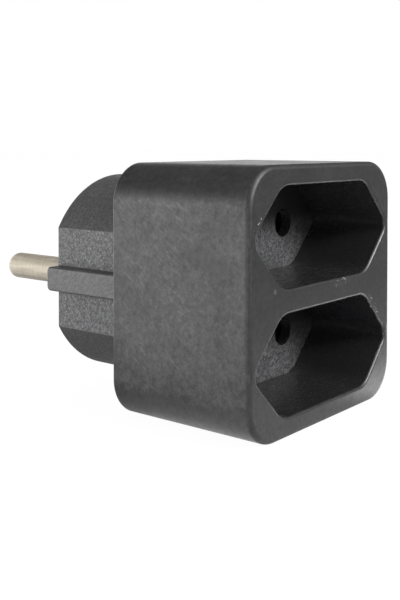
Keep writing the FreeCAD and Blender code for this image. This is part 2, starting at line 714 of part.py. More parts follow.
def make_screw():
    """The self-tapping screw that sits deep in the plug's well and holds the two mouldings."""
    body = new_body("housing_screw")
    profile = new_sketch(body, "profile", plane="XY_Plane")
    seat = WELL_SEAT
    end = f"({seat} + <screw_length>)"
    polygon(profile, [("0", f"-{end}"),
                      ("<screw_point_width> / 2", f"-{end}"),
                      ("<screw_diameter> / 2", f"-({end} - <screw_point>)"),
                      ("<screw_diameter> / 2", f"-{seat}"),
                      ("<screw_head> / 2", f"-{seat}"),
                      ("<screw_head> / 2", f"-({seat} - <screw_head_height> / 2)"),
                      ("<screw_head_top> / 2", f"-({seat} - <screw_head_height>)"),
                      ("0", f"-({seat} - <screw_head_height>)")])
    revolve(body, profile)
    cross = new_sketch(body, "drive", height=f"{seat} - <screw_head_height>")
    near, far = "<screw_drive_width> / 2", "<screw_drive> / 2"
    polygon(cross, [(near, near), (far, near), (far, f"-{near}"), (near, f"-{near}"),
                    (near, f"-{far}"), (f"-{near}", f"-{far}"), (f"-{near}", f"-{near}"),
                    (f"-{far}", f"-{near}"), (f"-{far}", near), (f"-{near}", near),
                    (f"-{near}", far), (near, far)])
    pocket(body, cross, "<screw_drive_depth>", reverse=True)
    thread = new_sketch(body, "thread", plane="XY_Plane")
    radius, tall = "<screw_diameter> / 2", "<thread_mouth> / 2"
    root = f"({seat} + <well_floor>)"
    polygon(thread, [(f"{radius} + <thread_depth>", f"-({root} + {tall})"),
                     (f"{radius} - <thread_depth>", f"-{root}"),
                     (f"{radius} + <thread_depth>", f"-({root} - {tall})")])
    cut = body.newObject("PartDesign::Groove", "housing_screw_thread_root")
    cut.Profile = thread
    cut.ReferenceAxis = (thread, ["V_Axis"])
    cut.Angle = 360
    doc.recompute()
    before = body.Shape.Volume
    turns = body.newObject("PartDesign::LinearPattern", "housing_screw_thread")
    turns.Originals = [cut]
    turns.Direction = (thread, ["V_Axis"])
    turns.Reversed = True
    bind(turns, "Length", "<thread_pitch> * (<thread_turns> - 1)")
    bind(turns, "Occurrences", "<thread_turns>")
    body.Tip = turns
    doc.recompute()
    if not body.Shape.Volume < before:
        raise RuntimeError("the screw thread cuts nothing")
    return body


def coil_point(turned):
    """A point on the spring's coil after a turn in radians from its start, and its direction."""
    radius, climb = number("<spring_radius>"), number("<spring_pitch>") / math.tau
    angle = math.radians(number("<spring_start>")) + turned
    point = Vector(radius * math.cos(angle), -climb * turned, radius * math.sin(angle))
    way = Vector(-radius * math.sin(angle), -climb, radius * math.cos(angle))
    return point, way.normalize()


def two_arcs(start, start_way, end, end_way):
    """Two arcs that meet smoothly, between two points with the given directions."""
    gap = end - start
    along = gap.dot(start_way + end_way)
    spread = 2 * (1 - start_way.dot(end_way))
    reach = (math.sqrt(along * along + spread * gap.dot(gap)) - along) / spread
    joint = (start + end + (start_way - end_way) * reach) * 0.5
    arcs = []
    for base, way in ((start, start_way), (end, end_way * -1)):
        chord = joint - base
        bend = math.acos(way.dot(chord) / chord.Length)
        outward = (way * chord.Length - chord * math.cos(bend)).normalize()
        middle = (base + joint) * 0.5 + outward * (chord.Length / 2 * math.tan(bend / 2))
        arcs.append(Part.Arc(base, middle, joint).toShape())
    return arcs


def make_spring(name, side):
    """A torsion spring: a short coil with a straight leg along the tangent at each end."""
    leg = number("<spring_leg>")
    quarters = range(int(number("<spring_turns> * 4")))
    start, start_way = coil_point(0)
    end, end_way = coil_point(number("<spring_turns>") * math.tau)
    path = [Part.LineSegment(start - start_way * leg, start).toShape()]
    for quarter in quarters:
        path += two_arcs(*coil_point(quarter * math.pi / 2), *coil_point((quarter + 1) * math.pi / 2))
    path.append(Part.LineSegment(end, end + end_way * leg).toShape())
    section = Part.Circle(start - start_way * leg, start_way, number("<spring_wire> / 2")).toShape()
    spring = doc.addObject("Part::Feature", name)
    spring.Label = name
    spring.Shape = Part.Wire(path).makePipeShell([Part.Wire(section)], True, False)
    place(spring, z=f"{side}{OUTLET}",
          height=f"({CUP_BOTTOM} + {SHUTTER_REAR} - <spring_turns> * <spring_pitch>) / 2")
    return spring


pieces = [make_front_housing(), make_plug_body(), make_contact_carrier(), make_screw()]
for hand, side in (("left", "-"), ("right", "")):
    pieces.append(make_pin(f"plug_pin_{hand}", side))
    pieces.append(make_bus_bar(f"bus_bar_{hand}", side))
    for floor, level in (("upper", ""), ("lower", "-")):
        pieces.append(make_socket(f"contact_socket_{floor}_{hand}", side, level))
        pieces.append(make_clamp_ring(f"clamp_ring_{floor}_{hand}", side, level))
for floor, level in (("upper", ""), ("lower", "-")):
    pieces.append(make_shutter(f"shutter_{floor}", level))
    pieces.append(make_spring(f"shutter_spring_{floor}", level))
doc.recompute()

for item in doc.Objects:
    if "Invalid" in item.State or "Error" in item.State:
        raise RuntimeError(f"{item.Label} did not build")
for piece in pieces:
    if piece.Shape.isNull() or not piece.Shape.isValid() or piece.Shape.Volume <= 0:
        raise RuntimeError(f"{piece.Label} has no sound shape")

os.makedirs("parts", exist_ok=True)
for piece in pieces:
    piece.Shape.exportStep(f"parts/{piece.Label}.step")
    box = piece.Shape.BoundBox
    print(f"{piece.Label:28s} {len(piece.Shape.Solids)} {piece.Shape.Volume:10.2f} mm3"
          f"  x {box.XMin:.2f} {box.XMax:.2f}  y {box.YMin:.2f} {box.YMax:.2f}"
          f"  z {box.ZMin:.2f} {box.ZMax:.2f}")
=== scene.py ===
import json
import math

import bmesh
import bpy
import numpy as np
from bpy.props import FloatProperty, FloatVectorProperty, PointerProperty
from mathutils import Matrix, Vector


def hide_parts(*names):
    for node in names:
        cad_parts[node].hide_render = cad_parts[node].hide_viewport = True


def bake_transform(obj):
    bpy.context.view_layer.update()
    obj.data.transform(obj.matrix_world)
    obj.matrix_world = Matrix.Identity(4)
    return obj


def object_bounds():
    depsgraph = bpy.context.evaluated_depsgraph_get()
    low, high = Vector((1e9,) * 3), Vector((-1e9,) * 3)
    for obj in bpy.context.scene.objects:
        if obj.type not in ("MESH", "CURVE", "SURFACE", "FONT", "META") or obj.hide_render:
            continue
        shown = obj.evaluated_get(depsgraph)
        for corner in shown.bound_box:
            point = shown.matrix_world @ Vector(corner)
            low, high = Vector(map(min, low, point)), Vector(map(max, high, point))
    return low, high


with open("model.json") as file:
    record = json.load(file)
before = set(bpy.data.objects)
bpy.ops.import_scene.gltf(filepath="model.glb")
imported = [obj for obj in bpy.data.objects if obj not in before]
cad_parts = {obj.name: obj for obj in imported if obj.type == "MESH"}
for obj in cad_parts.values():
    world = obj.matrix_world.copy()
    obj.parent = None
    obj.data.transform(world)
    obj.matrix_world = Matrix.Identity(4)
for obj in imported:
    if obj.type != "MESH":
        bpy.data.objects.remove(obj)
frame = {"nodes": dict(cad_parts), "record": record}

bl_info = {
    "name": "Double Socket Adapter",
    "version": (1, 0, 0),
    "blender": (4, 5, 0),
    "location": "View3D > Sidebar > Adapter",
    "description": "Finishes the double socket adapter's pieces and sets them on a plain stage",
    "category": "Object",
}

# Lengths are in metres. Seen from the front, x runs right, y back from the face, and z up.
CAD_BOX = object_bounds()
MOUNTS = {mount["name"]: mount for mount in frame["record"]["mounts"]}
FACE = CAD_BOX[0].y
FLOOR = MOUNTS["recess_floor_upper"]["pos_m"][1]
OUTLET_RISE = MOUNTS["recess_floor_upper"]["pos_m"][2]

# Limits of the zones that differ in finish, each a little past the form that it takes in
LIP = 0.00055
FACE_RIM = 0.0009
RECESS_WIDTH = 0.0406
RECESS_HEIGHT = 0.0158
PLUG_FLATS = 0.0165
ZONE_BLUR = 0.00005

# Wear on the box: x and z of the nicked lips and of a pale dot, and y of the worn track
NICKED_LIPS = ((-0.0180, 0.0118), (0.0046, 0.0016))
NICKED_END = 0.0135
PALE_DOT = (-0.0146, 0.0019)
RUBBED_TRACK = -0.029

DOT_GREY = (0.20, 0.20, 0.20)
CHIPPED_GREY = (0.50, 0.50, 0.48)
FLECK_GREY = (0.35, 0.35, 0.35)
BRASS = (0.62, 0.45, 0.18)
STEEL = (0.45, 0.46, 0.48)
ZINC = (0.50, 0.51, 0.54)
SHUTTER_BLACK = (0.050, 0.050, 0.052)
CARRIER_GREY = (0.42, 0.41, 0.38)
WHITE = (1.0, 1.0, 1.0, 1.0)

PLASTIC_IOR = 1.5
BUMP_HEIGHT = 0.001
MERGE_DISTANCE = 1e-7

# The stage: the floor's half width, each lamp's place and its width and height
FLOOR_REACH = 4.0
FRONT_LAMP = ((0.24, -0.98, 0.52), (0.50, 0.18))
SIDE_PANEL = ((-0.80, 0.62, 0.14), (0.80, 0.50))

# The camera: the photograph's frame in pixels, the sensor in mm and the angles in degrees
FRAME_HEIGHT = 600.0
FOCAL_LENGTH = 907.746
OPTICAL_CENTRE = 165.0
SENSOR = 36.0
CAMERA_PLACE = (-0.124049, -0.120340, 0.023692)
CAMERA_YAW = 50.993
CAMERA_PITCH = -1.399
CAMERA_RANGE = (0.005, 20.0)


# Settings that a user may change

def colour(name, description, value):
    return FloatVectorProperty(name=name, description=description, default=value,
                               subtype="COLOR", min=0.0, max=1.0, size=3)


def length(name, description, value):
    return FloatProperty(name=name, description=description, default=value, min=0.0,
                         unit="LENGTH", subtype="DISTANCE", precision=5)


def share(name, description, value):
    return FloatProperty(name=name, description=description, default=value, min=0.0, max=1.0,
                         subtype="FACTOR")


def glow(name, description, value, most):
    return FloatProperty(name=name, description=description, default=value, min=0.0, max=most)


def power(name, description, value):
    return FloatProperty(name=name, description=description, default=value, min=0.0,
                         unit="POWER")


class HousingFinish(bpy.types.PropertyGroup):
    tint: colour("Plastic", "Colour of the box's black plastic", (0.030, 0.030, 0.031))
    roughness: share("Roughness", "How dull the moulded surface is", 0.34)
    grain: length("Grain", "Size of the fine grain that the mould leaves", 0.00035)
    grain_depth: length("Grain depth", "Height of the grain", 0.000008)
    scuffs: share("Scuffs", "How much the slanting scuffs show", 0.55)


class PlugFinish(bpy.types.PropertyGroup):
    tint: colour("Plastic", "Colour of the plug's black plastic", (0.042, 0.042, 0.043))
    roughness: share("Roughness", "How dull the spark-eroded surface is", 0.55)
    grain: length("Spark grain", "Size of the coarse grain on the flats", 0.00045)
    grain_depth: length("Grain depth", "Height of the coarse grain", 0.000035)


class PinFinish(bpy.types.PropertyGroup):
    tint: colour("Plating", "Colour of the pins' nickel plating", (0.50, 0.45, 0.36))
    roughness: share("Roughness", "How dull the drawn plating is", 0.42)


class StageSettings(bpy.types.PropertyGroup):
    floor: share("Floor", "How pale the floor is", 0.85)
    bounce: share("Bounce", "How much light the floor sends back up at the adapter", 0.90)
    shine: share("Shine", "How bright polished surfaces see the floor on the right", 1.0)
    backdrop: glow("Backdrop", "How bright polished surfaces see the room behind", 2.5, 4.0)
    window: glow("Window", "How bright polished surfaces see the wide light above the front",
                 4.5, 8.0)
    sky: share("Sky", "Light that comes from all round", 0.60)
    ceiling: share("Ceiling", "How bright polished surfaces see the room above", 0.10)
    front_wall: share("Front wall", "How bright polished surfaces see the room in front", 0.32)
    front_fill: share("Front fill", "Light from in front, as a part of the sky's light", 0.55)
    front: power("Front lamp", "Power of the soft lamp above the front", 8.0)
    side: power("Side lamp", "Power of the low panel behind on the left", 13.0)


# Materials

class Nodes:
    """A node tree and a short way to add nodes to it."""

    def __init__(self, tree):
        tree.nodes.clear()
        self.tree = tree

    def add(self, kind, inputs=None, **settings):
        """One node with its settings, and its inputs linked to sockets or set to values."""
        made = self.tree.nodes.new(kind)
        for key, value in settings.items():
            setattr(made, key, value)
        for key, value in (inputs or {}).items():
            if isinstance(value, bpy.types.NodeSocket):
                self.tree.links.new(value, made.inputs[key])
            else:
                made.inputs[key].default_value = value
        return made

    def math(self, how, first, second=0.0):
        return self.add("ShaderNodeMath", {0: first, 1: second}, operation=how).outputs[0]

    def near(self, value, middle, within):
        """1 where a value differs from the middle by no more than a limit, and 0 elsewhere."""
        return self.add("ShaderNodeMath", {0: value, 1: middle, 2: within},
                        operation="COMPARE").outputs[0]

    def distance(self, place, middle=(0.0, 0.0, 0.0)):
        return self.add("ShaderNodeVectorMath", {0: place, 1: middle},
                        operation="DISTANCE").outputs["Value"]

    def axes(self, vector):
        return self.add("ShaderNodeSeparateXYZ", {"Vector": vector}).outputs

    def band(self, value, low, high, to_low=0.0, to_high=1.0, ease="LINEAR"):
        """A value's range from low to high carried to another range, and held outside of it."""
        made = self.add("ShaderNodeMapRange", {"Value": value, "From Min": low,
                                               "From Max": high, "To Min": to_low,
                                               "To Max": to_high}, interpolation_type=ease)
        return made.outputs["Result"]

    def blend(self, amount, first, second):
        """Two colours or two numbers: all of the first at 0 and all of the second at 1."""
        is_colour = isinstance(first, tuple) or getattr(first, "type", "") == "RGBA"
        ends = [(*end, 1.0) if isinstance(end, tuple) else end for end in (first, second)]
        return self.add("ShaderNodeMix", {"Factor": amount, "A": ends[0], "B": ends[1]},
                        data_type="RGBA" if is_colour else "FLOAT").outputs["Result"]

    def rays(self, *kinds):
        """1 for rays of the given kinds and 0 for all others."""
        found = self.add("ShaderNodeLightPath").outputs
        seen = found[kinds[0]]
        for kind in kinds[1:]:
            seen = self.math("MAXIMUM", seen, found[kind])
        return seen


class Look(Nodes):
    """A material whose patterns follow the piece's own coordinates."""

    def __init__(self, name):
        self.material = bpy.data.materials.new(name)
        self.material.use_nodes = True
        super().__init__(self.material.node_tree)
        self.place = self.add("ShaderNodeTexCoord").outputs["Object"]

    def noise(self, size, detail=2.0, roughness=0.5, place=None):
        """Smooth random values whose features are about size metres across."""
        made = self.add("ShaderNodeTexNoise", {"Vector": place or self.place,
                                               "Scale": 1.0 / size, "Detail": detail,
                                               "Roughness": roughness})
        return made.outputs["Fac"]

    def turned(self, rotation, scale):
        """Object coordinates turned and then stretched, for marks that run one way."""
        turn = self.add("ShaderNodeVectorRotate", {"Vector": self.place, "Rotation": rotation},
                        rotation_type="EULER_XYZ").outputs["Vector"]
        return self.add("ShaderNodeMapping", {"Vector": turn, "Scale": scale}).outputs["Vector"]

    def bump(self, height, distance):
        return self.add("ShaderNodeBump", {"Height": height, "Distance": distance,
                                           "Strength": 1.0}).outputs["Normal"]

    def finish(self, **inputs):
        """Joins the shader's inputs, whose names take _ for a space, to the surface."""
        shader = self.add("ShaderNodeBsdfPrincipled",
                          {key.replace("_", " "): value for key, value in inputs.items()})
        self.add("ShaderNodeOutputMaterial", {"Surface": shader.outputs["BSDF"]})
        return self.material

    def plastic(self, body, dull, height):
        return self.finish(Base_Color=body, Roughness=dull, IOR=PLASTIC_IOR,
                           Normal=self.bump(height, BUMP_HEIGHT))


def scaled(tint, by):
    return tuple(min(1.0, part * by) for part in tint)


class Zones:
    """Where on a moulding a point lies, from its own coordinates: 1 in a zone and 0 outside.

    off is how far a point is above or below the middle of the nearer outlet, and facing holds
    the three parts of the surface's direction."""

    def __init__(self, look):
        self.look = look
        axes = look.axes(look.place)
        self.x, self.y, self.z = axes["X"], axes["Y"], axes["Z"]
        self.facing = look.axes(look.add("ShaderNodeNewGeometry").outputs["Normal"])
        self.off = self.size(look.math("SUBTRACT", self.size(self.z), OUTLET_RISE))

    def below(self, value, limit, blur=ZONE_BLUR):
        return self.look.band(value, limit - blur, limit + blur, 1.0, 0.0)

    def above(self, value, limit, blur=ZONE_BLUR):
        return self.look.band(value, limit - blur, limit + blur)

    def both(self, first, *others):
        """The product of all values, so 1 only where every zone is."""
        for other in others:
            first = self.look.math("MULTIPLY", first, other)
        return first

    def size(self, value):
        return self.look.math("ABSOLUTE", value)

    def outlet(self, margin):
        """The outline of an outlet with a margin round it, seen from the front: off is less than
        half the height, and x and off add up to less than half the width."""
        reach = self.look.math("ADD", self.size(self.x), self.off)
        return self.both(self.below(self.off, RECESS_HEIGHT / 2 + margin),
                         self.below(reach, RECESS_WIDTH / 2 + margin))

    def recess(self):
        """Everything in an outlet past its lip."""
        return self.both(self.outlet(0.0), self.above(self.y, FACE + LIP))

    def floor(self):
        """The flat end of an outlet, which faces the front."""
        near = self.size(self.look.math("SUBTRACT", self.y, FLOOR))
        return self.both(self.below(near, 0.00015), self.below(self.facing["Y"], -0.8, 0.1))

    def lip(self):
        """The middle of the rounding at an outlet's mouth, which leans about 45 degrees."""
        leaning = self.look.near(self.facing["Y"], -0.707, 0.15)
        return self.both(leaning, self.outlet(LIP * 2), self.below(self.y, FACE + LIP))

    def face_rim(self):
        """The rounded outer edge of the face."""
        return self.both(self.below(self.y, FACE + FACE_RIM),
                         self.above(self.facing["Y"], -0.97, 0.02),
                         self.look.math("SUBTRACT", 1.0, self.outlet(LIP * 2)))

    def side(self):
        """The left and right faces, up to where the corners start to turn."""
        return self.above(self.size(self.facing["X"]), 0.985, 0.01)

    def plug_flat(self):
        """The two flats of the plug, without the ribs that stand on them."""
        return self.both(self.above(self.size(self.facing["X"]), 0.995, 0.004),
                         self.below(self.size(self.x), PLUG_FLATS))

    def rib(self):
        """The outer faces of the guide ribs."""
        return self.both(self.above(self.size(self.facing["X"]), 0.9, 0.05),
                         self.above(self.size(self.x), PLUG_FLATS))


# Each of these four gives a surface's colour, roughness and height as sockets. A pattern is one
# noise or a weighted sum of a few, and its middle range is carried to the colours.

def grained_plastic(look, tint, roughness, grain, depth, contrast):
    """Moulded plastic: 7 mm clouds, mottling of three grains and the grain itself."""
    cloud = look.noise(0.007, detail=3.0, roughness=0.6)
    mottle = look.noise(grain * 3, detail=3.0, roughness=0.7)
    fine = look.noise(grain, detail=3.0, roughness=0.75)
    small = look.math("ADD", look.math("MULTIPLY", mottle, 0.35),
                      look.math("MULTIPLY", fine, 0.4))
    uneven = look.math("ADD", look.math("MULTIPLY", cloud, 0.25), small)
    body = look.blend(look.band(uneven, 0.38, 0.62), scaled(tint, 1.0 - contrast),
                      scaled(tint, 1.0 + contrast))
    dull = look.band(uneven, 0.40, 0.60, roughness - 0.08, roughness + 0.08)
    return body, dull, look.math("MULTIPLY", look.math("ADD", fine, mottle), depth / BUMP_HEIGHT)


def sparked(look, tint, roughness, grain, depth, contrast):
    """A spark-eroded surface: pale grains on a dark ground, with darker 2.5 mm clouds."""
    grains = look.noise(grain * 1.5, detail=4.0, roughness=0.9)
    cloud = look.noise(0.0025, detail=3.0, roughness=0.7)
    body = look.blend(look.band(grains, 0.44, 0.62), scaled(tint, 1.0 - contrast * 0.5),
                      scaled(tint, 1.0 + contrast * 2.0))
    body = look.blend(look.band(cloud, 0.40, 0.65, 0.25, 0.0), body, scaled(tint, 0.7))
    dull = look.band(grains, 0.35, 0.65, roughness + 0.1, roughness - 0.1)
    return body, dull, look.math("MULTIPLY", grains, depth / BUMP_HEIGHT)


def worn_plastic(look, zone, tint, roughness, grain, depth):
    """A handled surface: 6 mm mottling and 0.9 mm speckle, half as strong off the sides."""
    mottle = look.noise(0.006, detail=4.0, roughness=0.7)
    speckle = look.noise(0.0009, detail=3.0, roughness=0.9)
    fine = look.noise(grain, detail=3.0, roughness=0.75)
    uneven = look.math("ADD", look.math("MULTIPLY", mottle, 0.35),
                       look.math("MULTIPLY", speckle, 0.65))
    body = look.blend(look.band(uneven, 0.40, 0.64), scaled(tint, 0.4), scaled(tint, 2.2))
    body = look.blend(look.band(zone.side(), 0.0, 1.0, 0.5, 1.0), scaled(tint, 1.05), body)
    dull = look.band(uneven, 0.40, 0.60, roughness + 0.05, roughness - 0.05)
    return body, dull, look.math("MULTIPLY", fine, depth / BUMP_HEIGHT)


def outlet_floor_plastic(look, zone, tint, roughness):
    """Spark-eroded outlet floors: grey below the holes with dust, and darkened above them by a
    painted shadow of the outlet's top wall, by the height over the outlet's middle."""
    body, dull, height = sparked(look, scaled(tint, 2.2), roughness * 1.5, grain=0.00026,
                                 depth=0.00005, contrast=1.4)
    middle = look.math("MULTIPLY", look.math("SIGN", zone.z), OUTLET_RISE)
    # Painted shadow: the floor darkens to 0.4 of the tint from 2.8 mm below the outlet's middle
    # to 1.6 mm above it.
    painted_shadow = look.band(look.math("SUBTRACT", zone.z, middle), -0.0028, 0.0016)
    return look.blend(painted_shadow, body, scaled(tint, 0.4)), dull, height


def scratches(look, zone):
    """Where slanting scratches show: a stretched noise, in patches on the sides, most of them
    within 4 mm of the worn track and 15% of that from 9 mm on."""
    streaks = look.noise(0.0005, detail=2.0, roughness=0.7,
                         place=look.turned((-0.62, 0.0, 0.0), (1.0, 0.25, 1.0)))
    patch = look.noise(0.005, detail=3.0, roughness=0.6)
    track = zone.size(look.math("SUBTRACT", zone.y, RUBBED_TRACK))
    return zone.both(look.band(streaks, 0.50, 0.70), look.band(patch, 0.42, 0.56),
                     look.band(track, 0.004, 0.009, 1.0, 0.15), zone.side())


def smudge(look, zone):
    """Where the left side is smudged: near a middle, where heights count 2.5 times as much as
    lengths along y, with noise added to the distance for a ragged edge."""
    stretched = look.turned((-0.22, 0.0, 0.0), (0.0, 200.0, 500.0))
    ragged = look.math("ADD", look.distance(stretched, (0.0, -7.3, 7.3)),
                       look.noise(0.003, detail=3.0))
    return zone.both(look.band(ragged, 0.9, 1.7, 0.45, 0.0), zone.below(zone.x, 0.0))


def nicks(look, zone):
    """Where pale flecks show on the lips: the peaks of a fine noise, within 1.4 mm of an outlet,
    in patches at the right end of the face and round each nicked lip."""
    flecks = look.band(look.noise(0.00040), 0.62, 0.66)
    nicked = zone.both(look.band(look.noise(0.004), 0.56, 0.62), zone.above(zone.x, NICKED_END))
    for x, z in NICKED_LIPS:
        gap = look.distance(look.place, (x, FACE, z))
        nicked = look.math("MAXIMUM", nicked, look.band(gap, 0.0010, 0.0024, 1.0, 0.0))
    return zone.both(flecks, zone.outlet(0.0014), nicked, zone.below(zone.y, FACE + LIP))


def housing_plastic(finish):
    """The box's plastic: worn outside, smooth in the outlets, spark-eroded on their floors with
    a painted shadow over their upper parts, and painted paler on their lips as a highlight. Wear
    lies over all of it."""
    look = Look("moulded_black")
    zone = Zones(look)
    tint, rough = tuple(finish.tint), finish.roughness
    outer = worn_plastic(look, zone, tint, rough, finish.grain, finish.grain_depth)
    smooth = grained_plastic(look, scaled(tint, 1.3), rough * 0.75, finish.grain * 3,
                             finish.grain_depth * 0.1, contrast=0.04)
    spark = outlet_floor_plastic(look, zone, tint, rough)
    # Painted highlight: the lips are tinted 1.9 times paler than the box along their roundings.
    painted_lip_highlight = grained_plastic(look, scaled(tint, 1.9), rough, finish.grain * 3,
                             finish.grain_depth * 0.2, contrast=0.2)
    recess, floor, lip = zone.recess(), zone.floor(), zone.lip()
    body, dull, height = (
        look.blend(lip, look.blend(recess, outside, look.blend(floor, wall, end)), mouth)
        for outside, wall, end, mouth in zip(outer, smooth, spark, painted_lip_highlight))
    scuffed = look.math("MULTIPLY", scratches(look, zone), finish.scuffs)
    dot = look.distance(look.place, (PALE_DOT[0], FACE, PALE_DOT[1]))
    for amount, over in ((scuffed, scaled(tint, 4.5)), (smudge(look, zone), scaled(tint, 0.4)),
                         (look.band(dot, 0.0002, 0.0005, 0.4, 0.0), DOT_GREY),
                         (nicks(look, zone), CHIPPED_GREY)):
        body = look.blend(amount, body, over)
    dull = look.math("ADD", dull, look.math("MULTIPLY", zone.face_rim(), 0.14))
    return look.plastic(body, dull, height)


def moulded_plastic(name, tint, roughness, grain, grain_depth):
    """Moulded plastic in one finish all over."""
    look = Look(name)
    return look.plastic(*grained_plastic(look, tint, roughness, grain, grain_depth,
                                         contrast=0.15))


def sparked_plastic(finish):
    """The plug's plastic: coarse spark grain with pale flecks on the flats, finer and darker
    grain elsewhere, and brushed pale faces on the ribs."""
    look = Look("sparked_black")
    zone = Zones(look)
    tint, rough = tuple(finish.tint), finish.roughness
    coarse = sparked(look, scaled(tint, 2.0), rough, finish.grain * 0.8, finish.grain_depth,
                     contrast=0.6)
    fine = sparked(look, scaled(tint, 1.4), rough * 0.9, finish.grain * 0.7,
                   finish.grain_depth * 0.6, contrast=0.4)
    flat = zone.plug_flat()
    body, dull, height = (look.blend(flat, *parts) for parts in zip(fine, coarse))
    strokes = look.noise(0.0004, detail=2.0, roughness=0.7,
                         place=look.turned((0.7, 0.0, 0.0), (1.0, 0.35, 1.0)))
    brushed = look.band(look.band(strokes, 0.4, 0.65), 0.0, 1.0, 0.35, 1.0)
    body = look.blend(look.math("MULTIPLY", zone.rib(), brushed), body, scaled(tint, 3.2))
    flecks = look.band(look.noise(finish.grain * 0.8), 0.58, 0.70)
    body = look.blend(zone.both(flecks, flat, 0.6), body, FLECK_GREY)
    return look.plastic(body, dull, height)


def plated_metal(name, tint, roughness):
    """Worn nickel plate on drawn rod: lengthwise lines, rings from plugging in, and patches."""
    look = Look(name)
    lines = look.noise(0.00035, detail=4.0, roughness=0.7,
                       place=look.turned((0.0, 0.0, 0.0), (1.0, 0.04, 1.0)))
    rings = look.noise(0.00035, detail=3.0, roughness=0.8,
                       place=look.turned((0.0, 0.0, 0.0), (0.12, 1.0, 0.12)))
    patch = look.noise(0.004, detail=3.0, roughness=0.6)
    plate = look.blend(look.band(patch, 0.4, 0.7), tint, scaled(tint, 1.2))
    worn = look.math("ADD", look.band(lines, 0.35, 0.55, 0.35, 0.0),
                     look.band(rings, 0.35, 0.6, 0.25, 0.0))
    plate = look.blend(worn, plate, scaled(tint, 0.4))
    dull = look.band(lines, 0.3, 0.7, roughness + 0.1, roughness - 0.1)
    return look.finish(Base_Color=plate, Metallic=0.2, Roughness=dull,
                       Normal=look.bump(lines, 0.000006))


def plain_metal(name, tint, roughness, grain):
    """Bare or plated metal with a light, even grain and 3 mm patches."""
    look = Look(name)
    fine = look.noise(grain, detail=4.0, roughness=0.6)
    patch = look.noise(0.003)
    metal = look.blend(look.band(patch, 0.4, 0.6), scaled(tint, 0.9), scaled(tint, 1.08))
    dull = look.band(fine, 0.3, 0.7, roughness - 0.05, roughness + 0.1)
    return look.finish(Base_Color=metal, Metallic=1.0, Roughness=dull,
                       Normal=look.bump(fine, 0.000004))


def dress(material, *nodes):
    """Gives CAD nodes a material and leaves their meshes as they are."""
    for node in nodes:
        item = frame["nodes"][node]
        item.data.materials.clear()
        item.data.materials.append(material)


def all_nodes(*starts):
    return [name for name in frame["nodes"] if name.startswith(starts)]


# Pieces

def sheet(name, points):
    """A mesh from a grid of points: every four neighbours make a face, which faces up where the
    rows run along y and the columns along x."""
    rows, columns = points.shape[:2]
    index = np.arange(rows * columns).reshape(rows, columns)
    left, right = index[:, :-1], index[:, 1:]
    quads = np.stack([left[:-1], right[:-1], right[1:], left[1:]], axis=-1).reshape(-1, 4)
    mesh = bpy.data.meshes.new(name)
    mesh.from_pydata(points.reshape(-1, 3).tolist(), [], quads.tolist())
    made = bpy.data.objects.new(name, mesh)
    bpy.context.scene.collection.objects.link(made)
    return made


def winding_spring(level, material):
    """A copy of a return spring, merged and shaded smooth, which stands in place of the CAD
    node;
    the node is hidden."""
    node = "shutter_spring_" + level
    shape = bmesh.new()
    shape.from_mesh(frame["nodes"][node].data)
    bmesh.ops.remove_doubles(shape, verts=shape.verts, dist=MERGE_DISTANCE)
    mesh = bpy.data.meshes.new("winding_spring_" + level)
    shape.to_mesh(mesh)
    shape.free()
    mesh.shade_smooth()
    mesh.materials.append(material)
    piece = bpy.data.objects.new("winding_spring_" + level, mesh)
    bpy.context.scene.collection.objects.link(piece)
    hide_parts(node)
    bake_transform(piece)


def aim(item, place, direction):
    """Puts a lamp or camera in its place, looking in a direction with its top up."""
    item.location = place
    item.rotation_mode = "QUATERNION"
    item.rotation_quaternion = direction.to_track_quat("-Z", "Y")


# Operators and panel

class ADAPTER_OT_housing(bpy.types.Operator):
    """Finish the box in black moulded plastic"""
    bl_idname = "adapter.housing"
    bl_label = "Housing"

    def execute(self, context):
        dress(housing_plastic(context.scene.adapter_housing), "front_housing")
        return {"FINISHED"}


class ADAPTER_OT_plug_body(bpy.types.Operator):
    """Finish the plug in coarser black plastic"""
    bl_idname = "adapter.plug_body"
    bl_label = "Plug body"

    def execute(self, context):
        dress(sparked_plastic(context.scene.adapter_plug), "plug_body")
        return {"FINISHED"}


class ADAPTER_OT_pins(bpy.types.Operator):
    """Plate the mains pins"""
    bl_idname = "adapter.pins"
    bl_label = "Mains pins"

    def execute(self, context):
        finish = context.scene.adapter_pins
        dress(plated_metal("nickel_plate", tuple(finish.tint), finish.roughness),
              *all_nodes("plug_pin"))
        return {"FINISHED"}


class ADAPTER_OT_contacts(bpy.types.Operator):
    """Finish the contacts, their rings, the bars that join them, the springs and the screw"""
    bl_idname = "adapter.contacts"
    bl_label = "Contacts"

    def execute(self, context):
        dress(plain_metal("turned_brass", BRASS, roughness=0.3, grain=0.0003),
              *all_nodes("contact_socket", "bus_bar"))
        steel = plain_metal("spring_steel", STEEL, roughness=0.28, grain=0.0002)
        dress(steel, *all_nodes("clamp_ring", "shutter_spring"))
        for level in ("upper", "lower"):
            winding_spring(level, steel)
        dress(plain_metal("zinc_plate", ZINC, roughness=0.35, grain=0.0004), "housing_screw")
        return {"FINISHED"}


class ADAPTER_OT_shutters(bpy.types.Operator):
    """Finish the shutters and the plate behind them"""
    bl_idname = "adapter.shutters"
    bl_label = "Shutters and carrier"

    def execute(self, context):
        dress(moulded_plastic("shutter_black", SHUTTER_BLACK, roughness=0.35, grain=0.0002,
                              grain_depth=0.000006),
              *all_nodes("shutter_upper", "shutter_lower"))
        dress(moulded_plastic("carrier_grey", CARRIER_GREY, roughness=0.5, grain=0.0003,
                              grain_depth=0.000012),
              "contact_carrier")
        return {"FINISHED"}


